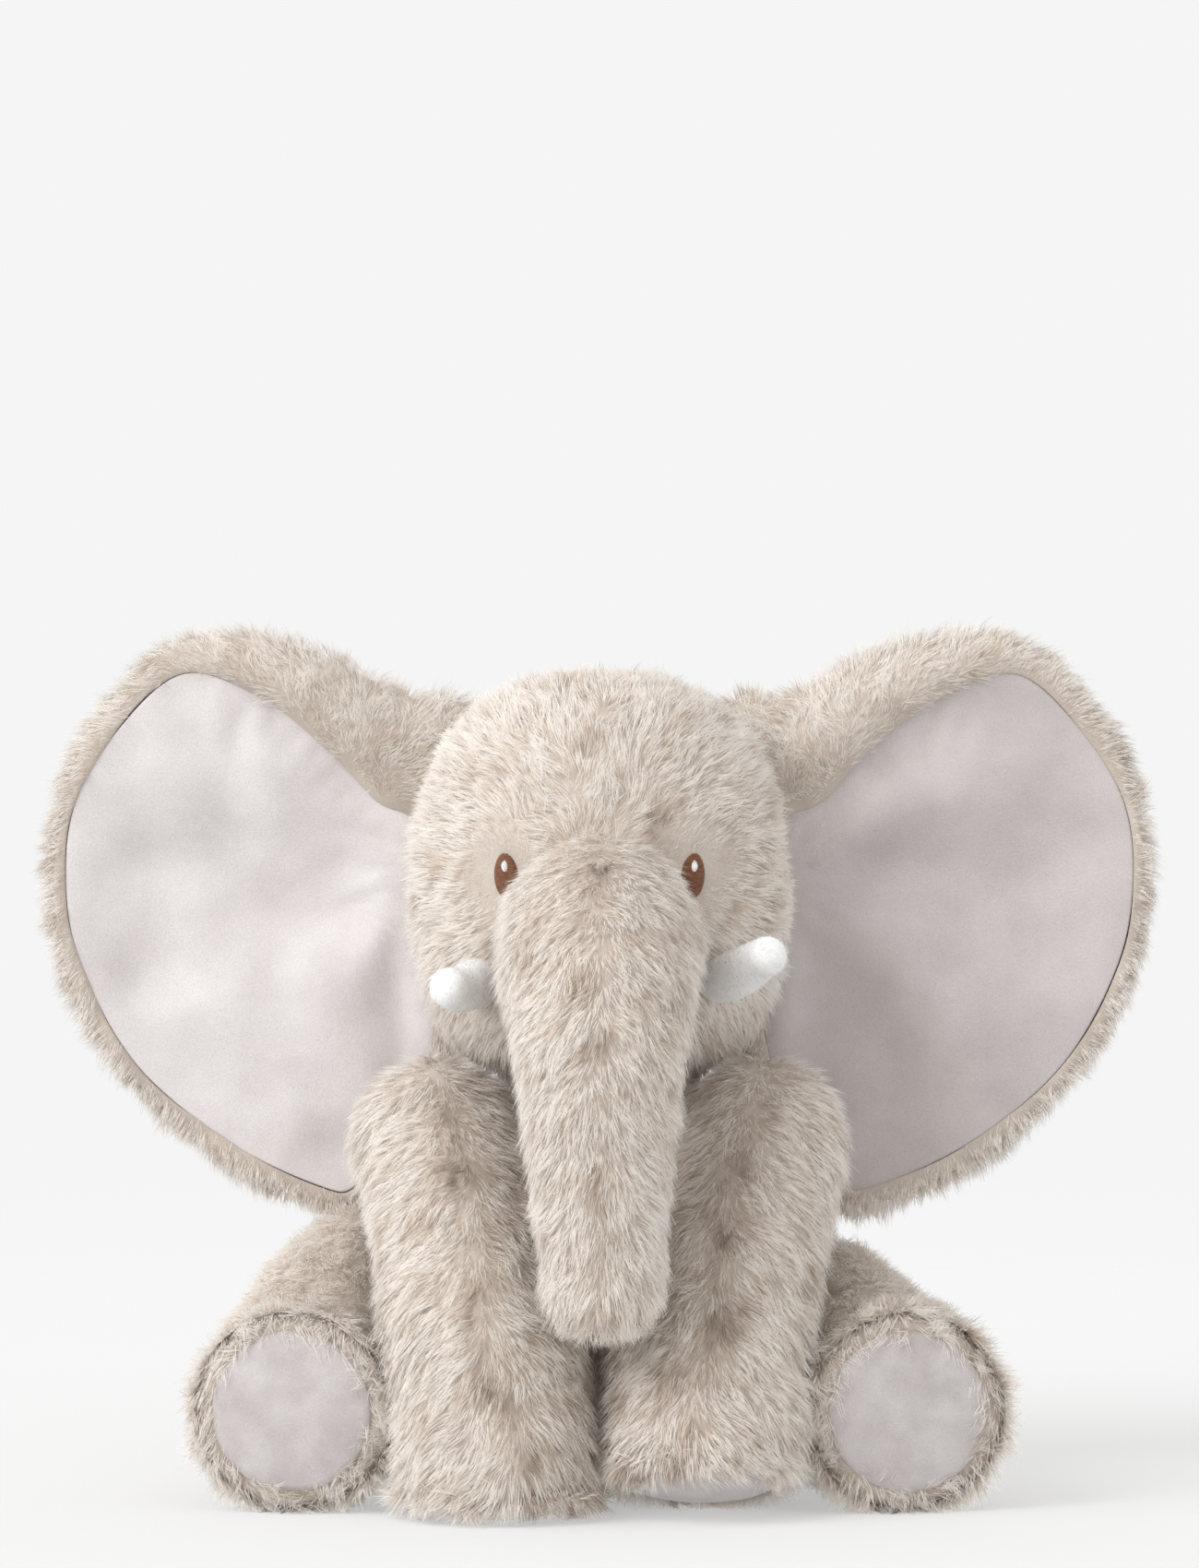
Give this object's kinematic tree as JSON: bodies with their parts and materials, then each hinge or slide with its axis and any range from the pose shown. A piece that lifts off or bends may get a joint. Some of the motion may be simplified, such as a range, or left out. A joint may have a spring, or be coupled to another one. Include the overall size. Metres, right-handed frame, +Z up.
{
  "type": "stuffed elephant",
  "caption": "Sitting plush elephant in pale long-pile fur with a hanging trunk, wide velour-lined ears, short tusks and padded soles.",
  "frame": {"origin": "on the floor under the middle of the overall box", "axes": "+Z up, the face looks along -Y, the toy's own left on +X"},
  "size_m": [0.39, 0.2636, 0.3028],
  "materials": {
    "fur": "matte long-pile faux fur, about 9 mm",
    "velour": "matte short-nap velour",
    "white_plush": "matte short plush",
    "fibre": "polyester fibre filling",
    "pouch_cloth": "plain woven lining cloth",
    "pellets": "polyethylene pellets",
    "brown_thread": "satin-stitched embroidery thread",
    "white_thread": "satin-stitched embroidery thread"
  },
  "bodies": {
    "torso": {"torso_skin": "fur", "torso_stuffing": "fibre", "pellet_pouch": "pouch_cloth", "pellet_fill": "pellets"},
    "neck": {"neck_skin": "fur", "neck_stuffing": "fibre"},
    "head": {"head_skin": "fur", "head_stuffing": "fibre", "eye_left": "brown_thread", "eye_right": "brown_thread", "eye_highlight_left": "white_thread", "eye_highlight_right": "white_thread", "tusk_left": "white_plush", "tusk_right": "white_plush", "tusk_stuffing_left": "fibre", "tusk_stuffing_right": "fibre"},
    "trunk": {"trunk_upper_skin": "fur", "trunk_upper_stuffing": "fibre"},
    "trunk_end": {"trunk_lower_skin": "fur", "trunk_lower_stuffing": "fibre"},
    "tail": {"tail_cord": "fur", "tail_tuft": "fur"},
    "ear_left": {"ear_back_left": "fur", "ear_wadding_left": "fibre", "ear_lining_left": "velour"},
    "front_leg_left": {"front_leg_skin_left": "fur", "front_leg_stuffing_left": "fibre", "front_sole_left": "velour"},
    "hind_leg_left": {"hind_leg_skin_left": "fur", "hind_leg_stuffing_left": "fibre", "hind_sole_left": "velour"},
    "ear_right": {"ear_back_right": "fur", "ear_wadding_right": "fibre", "ear_lining_right": "velour"},
    "front_leg_right": {"front_leg_skin_right": "fur", "front_leg_stuffing_right": "fibre", "front_sole_right": "velour"},
    "hind_leg_right": {"hind_leg_skin_right": "fur", "hind_leg_stuffing_right": "fibre", "hind_sole_right": "velour"}
  },
  "joints": [
    {"name": "neck_turn", "type": "hinge", "parent": "torso", "child": "neck", "pos_m": [0, 0.01876, 0.144], "axis": [0, 0, 1], "range_deg": [-6, 6], "stiffness_Nm_per_rad": 1.2},
    {"name": "head_nod", "type": "hinge", "parent": "neck", "child": "head", "pos_m": [0, 0.01876, 0.144], "axis": [-1, 0, 0], "range_deg": [-2, 12], "stiffness_Nm_per_rad": 3},
    {"name": "trunk_lift", "type": "hinge", "parent": "head", "child": "trunk", "pos_m": [0, -0.06724, 0.2], "axis": [-1, 0, 0], "range_deg": [-2, 40], "stiffness_Nm_per_rad": 0.6},
    {"name": "trunk_curl", "type": "hinge", "parent": "trunk", "child": "trunk_end", "pos_m": [0, -0.10724, 0.133], "axis": [-1, 0, 0], "range_deg": [-2, 35], "stiffness_Nm_per_rad": 0.2},
    {"name": "tail_swing", "type": "hinge", "parent": "torso", "child": "tail", "pos_m": [0, 0.10476, 0.057], "axis": [0, 0, 1], "range_deg": [-25, 25], "stiffness_Nm_per_rad": 0.02},
    {"name": "ear_flap_left", "type": "hinge", "parent": "head", "child": "ear_left", "pos_m": [0.062, 0.02476, 0.209], "axis": [-0.156, 0, 0.9878], "range_deg": [-10, 15], "stiffness_Nm_per_rad": 0.15},
    {"name": "front_leg_lift_left", "type": "hinge", "parent": "torso", "child": "front_leg_left", "pos_m": [0.057, -0.02324, 0.125], "axis": [-0.9063, -0.2111, 0.3661], "range_deg": [-1, 35], "stiffness_Nm_per_rad": 0.8},
    {"name": "hind_leg_splay_left", "type": "hinge", "parent": "torso", "child": "hind_leg_left", "pos_m": [0.064, 0.02876, 0.05], "axis": [0, 0, 1], "range_deg": [0, 22], "stiffness_Nm_per_rad": 0.8},
    {"name": "ear_flap_right", "type": "hinge", "parent": "head", "child": "ear_right", "pos_m": [-0.062, 0.02476, 0.209], "axis": [-0.156, 0, -0.9878], "range_deg": [-10, 15], "stiffness_Nm_per_rad": 0.15},
    {"name": "front_leg_lift_right", "type": "hinge", "parent": "torso", "child": "front_leg_right", "pos_m": [-0.057, -0.02324, 0.125], "axis": [-0.9063, 0.2111, -0.3661], "range_deg": [-1, 35], "stiffness_Nm_per_rad": 0.8},
    {"name": "hind_leg_splay_right", "type": "hinge", "parent": "torso", "child": "hind_leg_right", "pos_m": [-0.074, 0.02876, 0.06], "axis": [0, 0, -1], "range_deg": [0, 22], "stiffness_Nm_per_rad": 0.8}
  ]
}
